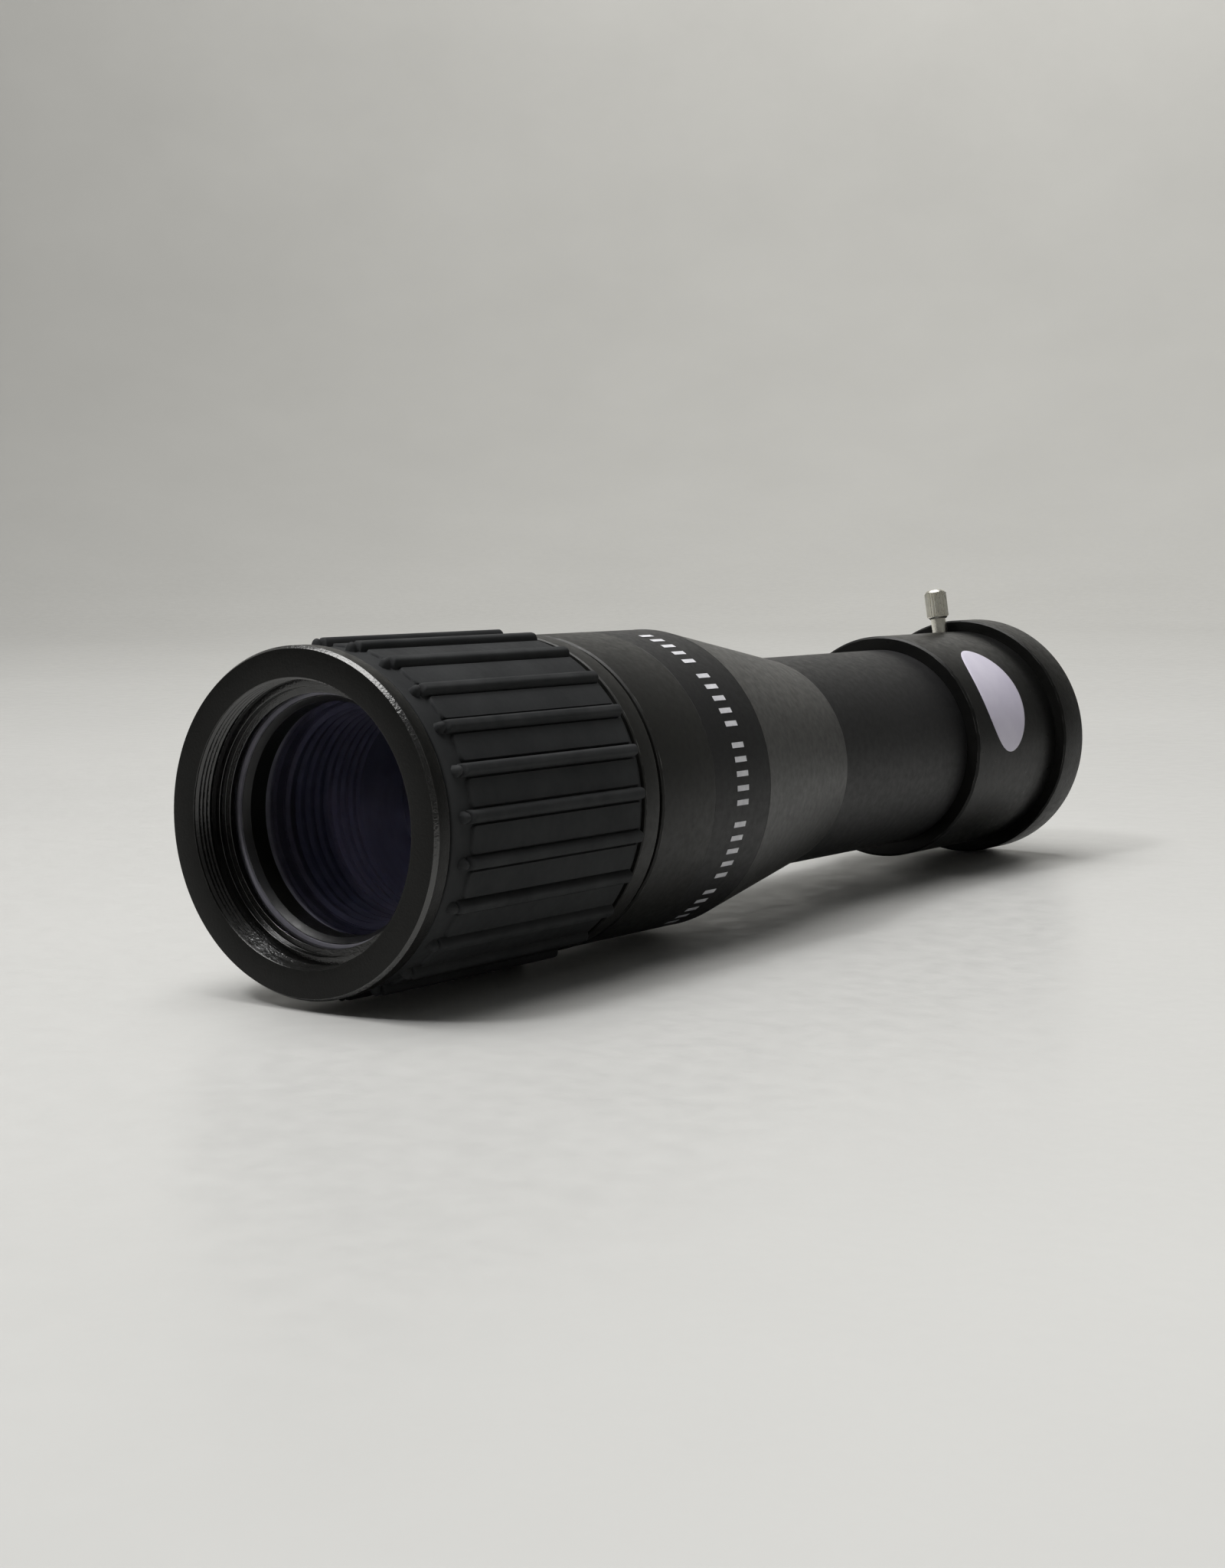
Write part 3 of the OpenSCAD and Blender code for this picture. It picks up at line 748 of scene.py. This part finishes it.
KNURL_RIDGES = 26
tree, size, core = new_tree("knurled_head", Ridges=KNURL_RIDGES, Step=TURN / KNURL_RIDGES,
    Radius=(HEAD_R - 0.06) * MM, Middle=(HEAD_R0 + HEAD_R1 - 0.2) / 2 * MM,
    Span=(HEAD_R1 - HEAD_R0 - 1.2) * MM, Ridge=0.2 * MM)
ridge = add(tree, "GeometryNodeMeshCylinder",
    {"Vertices": 8, "Side Segments": 1, "Radius": size["Ridge"], "Depth": size["Span"]}).outputs["Mesh"]
ridge = add(tree, "GeometryNodeTransform",
    {"Geometry": ridge, "Rotation": (0, math.pi / 2, 0)}).outputs["Geometry"]
out_to = add(tree, "ShaderNodeCombineXYZ", {"X": size["Middle"], "Z": size["Radius"]}).outputs["Vector"]
ridge = add(tree, "GeometryNodeTransform", {"Geometry": ridge, "Translation": out_to}).outputs["Geometry"]
spots = add(tree, "GeometryNodeMeshLine", {"Count": size["Ridges"], "Offset": (0.0, 0.0, 0.0)},
    mode="OFFSET").outputs["Mesh"]
index = add(tree, "GeometryNodeInputIndex").outputs["Index"]
angle = add(tree, "ShaderNodeMath", {0: index, 1: size["Step"]}, operation="MULTIPLY").outputs[0]
turns = add(tree, "ShaderNodeCombineXYZ", {"X": angle}).outputs["Vector"]
copies = add(tree, "GeometryNodeInstanceOnPoints",
    {"Points": spots, "Instance": ridge, "Rotation": turns}).outputs["Instances"]
both = add(tree, "GeometryNodeJoinGeometry")
tree.links.new(core, both.inputs["Geometry"])
tree.links.new(copies, both.inputs["Geometry"])
close_tree(tree, both.outputs["Geometry"], NICKEL)

screw_core = turned("screw_core",
    [(0, 17.9), (1.2, 17.9, 0.1), (SCREW_R, 18.3, 0.1), (SCREW_R, HEAD_R0), (HEAD_R - 0.4, HEAD_R0, 0.1),
        (HEAD_R - 0.06, HEAD_R0 + 0.4, 0.1), (HEAD_R - 0.06, HEAD_R1 - 0.55, 0.25),
        (HEAD_R - 0.5, HEAD_R1 - 0.12, 0.3), (0, HEAD_R1)], segments=64)
screw_core.transform(Matrix.Rotation(-math.pi / 2, 4, "Z"))
screw_mesh = grow("thumbscrew_knurled", tree, {"Ridges": KNURL_RIDGES}, screw_core)
as_piece("thumbscrew_knurled", place(face_out(screw_mesh, 1e-9), SCREW_ANG, SCREW_Y), None, "screw",
    "nickel", "thumbscrew")


# ---------------------------------------------------------------- finishes of the frame's own nodes

# These keep their shape and show it.
# The cell and its spacer take the sleeve's paled paint: painted light behind the lenses.
CARRIED = {"inner_tube": BARE_ALUMINIUM, "slip_ring": BLACK_PLASTIC, "body_baffle": MATT_BLACK,
    "taper_baffle": MATT_BLACK, "neck_liner": FLOCK, "socket_stop_ring": MATT_BLACK,
    "compression_ring": BRASS, "grip_sleeve": BARE_ALUMINIUM, "drag_ring": FELT, "lens_cell": BAFFLE_PAINTED_LIGHT,
    "cell_spacer": BAFFLE_PAINTED_LIGHT, "drive_pins": BRASS, "clamp_tip": BRASS}
# The pieces made above stand for these hidden nodes, which get their main finish.
HIDDEN_FINISH = {"front_ring": ANODISED, "body_front_band": ANODISED_SATIN, "body_tube": ANODISED_MATT,
    "index_marks": WHITE_INK, "taper_cone": ANODISED_TAPER_PAINTED_LIGHT, "neck_tube": ANODISED_MATT,
    "eyepiece_holder": ANODISED_SMOOTH, "end_flange": ANODISED, "oval_label": LABEL_PAPER,
    "rubber_grip": RUBBER, "grip_end_ring": ANODISED_SATIN, "retaining_ring": ANODISED,
    "front_lens": GLASS_FRONT, "rear_lens": GLASS_REAR, "baffle_sleeve": BAFFLE_PAINTED_LIGHT,
    "thumbscrew": NICKEL}
for node, finish in {**CARRIED, **HIDDEN_FINISH}.items():
    for holder in nodes[node].material_slots:
        holder.material = finish

# ---------------------------------------------------------------- table, sweep and light, in metres

FLOOR_Y0, FLOOR_Z0, FLOOR_SLOPE = 48.5 * MM, -26.25 * MM, 0.0153
TABLE_RADIUS, SWEEP_RADIUS, SWEEP_TOP = 1.1, 0.9, 2.2


def table_sweep():
    """A round table top that curves up into a wall all round, so that no horizon shows."""
    profile = [(0.0, 0.0)] + [(TABLE_RADIUS * (i / 12) ** 1.5, 0.0) for i in range(1, 13)]
    profile += [
        (TABLE_RADIUS + SWEEP_RADIUS * math.sin(math.pi / 2 * i / 16),
            SWEEP_RADIUS * (1 - math.cos(math.pi / 2 * i / 16))) for i in range(1, 17)]
    profile.append((TABLE_RADIUS + SWEEP_RADIUS, SWEEP_TOP))
    spokes = 96
    verts = [(0.0, 0.0, 0.0)]
    faces = [(0, 1 + k, 1 + (k + 1) % spokes) for k in range(spokes)]
    for i, (r, z) in enumerate(profile[1:]):
        verts += [(r * math.cos(TURN * k / spokes), r * math.sin(TURN * k / spokes), z)
            for k in range(spokes)]
        if i:
            a, b = 1 + (i - 1) * spokes, 1 + i * spokes
            faces += [(a + k, b + k, b + (k + 1) % spokes, a + (k + 1) % spokes) for k in range(spokes)]
    mesh = bpy.data.meshes.new("table_sweep")
    mesh.from_pydata(verts, [], faces)
    mesh.transform(
        Matrix.Translation((0, FLOOR_Y0, FLOOR_Z0)) @ Matrix.Rotation(math.atan(FLOOR_SLOPE), 4, "X"))
    shade(mesh, 60)
    return mesh


floor = bpy.data.objects.new("table_sweep", table_sweep())
scene.collection.objects.link(floor)
# Satin emulsion on board: pale, slightly clouded, barely glossy.
floor.data.materials.append(
    fine_finish("painted_table_board", "#BDBDBB", "#C1C1BF", 0.34, 60, 2.0, 0.01, IOR=1.4))


def area_light(name, position, target, size_x, size_y, power, colour, spread_deg=180):
    light = bpy.data.lights.new(name, "AREA")
    light.shape, light.size, light.size_y, light.energy = "RECTANGLE", size_x, size_y, power
    light.color = linear(colour)[:3]
    light.spread = math.radians(spread_deg)
    lamp = bpy.data.objects.new(name, light)
    scene.collection.objects.link(lamp)
    lamp.location = position
    lamp.rotation_mode = "QUATERNION"
    lamp.rotation_quaternion = (Vector(target) - Vector(position)).to_track_quat("-Z", "Y")
    return lamp


area_light("ceiling_softbox", (-0.24, -0.03, 1.3), (0.0, 0.1, 0.0), 1.1, 1.15, 8.9, "#FFFEFC", 105)
area_light("front_kicker", (-0.25, -0.62, 1.05), (0.0, 0.0, 0.0), 0.2, 0.2, 1.2, "#FFFFFF", 90)
area_light("background_wash", (-0.2, 0.9, 1.5), (-0.95, 1.75, 0.35), 0.9, 0.6, 10.5, "#FFFDF8", 130)

world = bpy.data.worlds.new("soft_room")
scene.world = world
world.use_nodes = True
world.node_tree.nodes["Background"].inputs["Color"].default_value = linear("#DCDCDC")
world.node_tree.nodes["Background"].inputs["Strength"].default_value = 0.3

# ---------------------------------------------------------------- camera

camera = bpy.data.objects.new("camera", bpy.data.cameras.new("camera"))
scene.collection.objects.link(camera)
camera.data.lens, camera.data.sensor_width = 57.13, 36.0
camera.data.clip_start, camera.data.clip_end = 0.01, 20
right, up, back = (0.81037, 0.5859, 0.0), (-0.05698, 0.0788, 0.99526), (0.58314, -0.8065, 0.09725)
camera.matrix_world = Matrix.Translation(
    (0.24148, -0.25802, 0.04003)) @ Matrix((right, up, back)).transposed().to_4x4()
scene.camera = camera
scene.view_settings.view_transform = "Standard"
